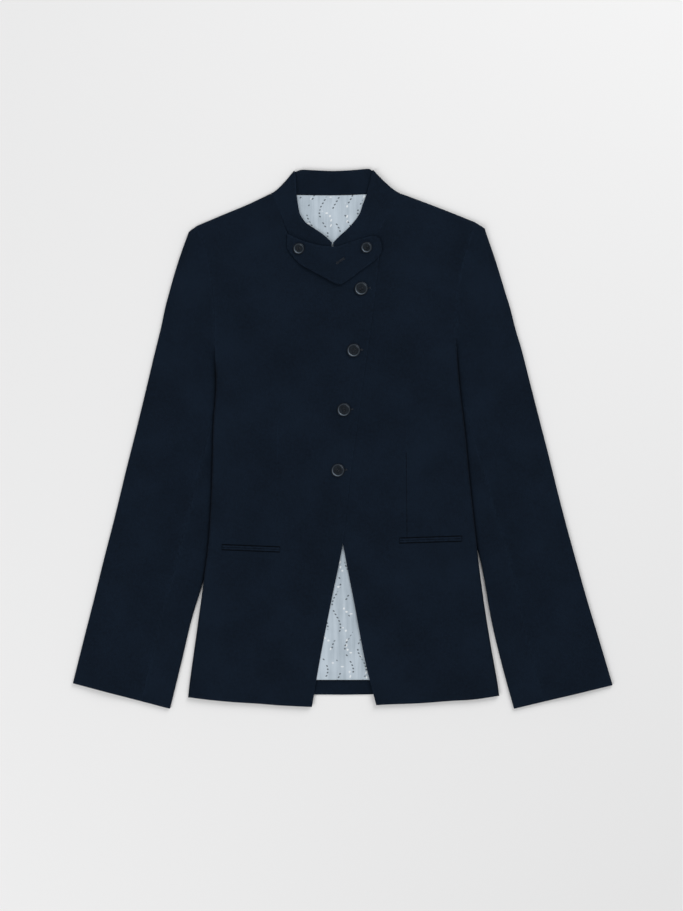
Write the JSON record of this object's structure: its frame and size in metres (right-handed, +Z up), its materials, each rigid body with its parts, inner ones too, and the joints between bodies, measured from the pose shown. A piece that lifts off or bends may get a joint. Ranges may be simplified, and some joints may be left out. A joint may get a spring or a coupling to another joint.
{
  "type": "blazer laid flat",
  "caption": "Woman's stand-collar blazer laid flat, front up, with a buttoned throat tab, slanting front lap and cutaway hem.",
  "frame": {"origin": "centre of the laid-out garment's bounding box, on the surface that it lies on", "axes": "+X towards the wearer's left sleeve, +Y from hem to neck, +Z up, away from the surface"},
  "size_m": [0.719, 0.7188, 0.0127],
  "materials": {
    "cloth": "dark navy wool suiting, matt with a faint sheen",
    "lining": "silver grey satin lining with a small scattered print",
    "button": "polished dark horn-like resin"
  },
  "bodies": {
    "root": {"back": "cloth", "back_lining": "lining", "front_left": "cloth", "front_right": "cloth", "sleeve_upper_right": "cloth", "sleeve_under_right": "cloth", "sleeve_upper_left": "cloth", "sleeve_under_left": "cloth", "collar": "cloth", "throat_tab": "cloth", "pocket_jet_upper_right": "cloth", "pocket_jet_lower_right": "cloth", "pocket_jet_upper_left": "cloth", "pocket_jet_lower_left": "cloth", "button_front_1": "button", "button_front_2": "button", "button_front_3": "button", "button_front_4": "button", "button_tab_right": "button", "button_tab_left": "button"}
  },
  "joints": []
}
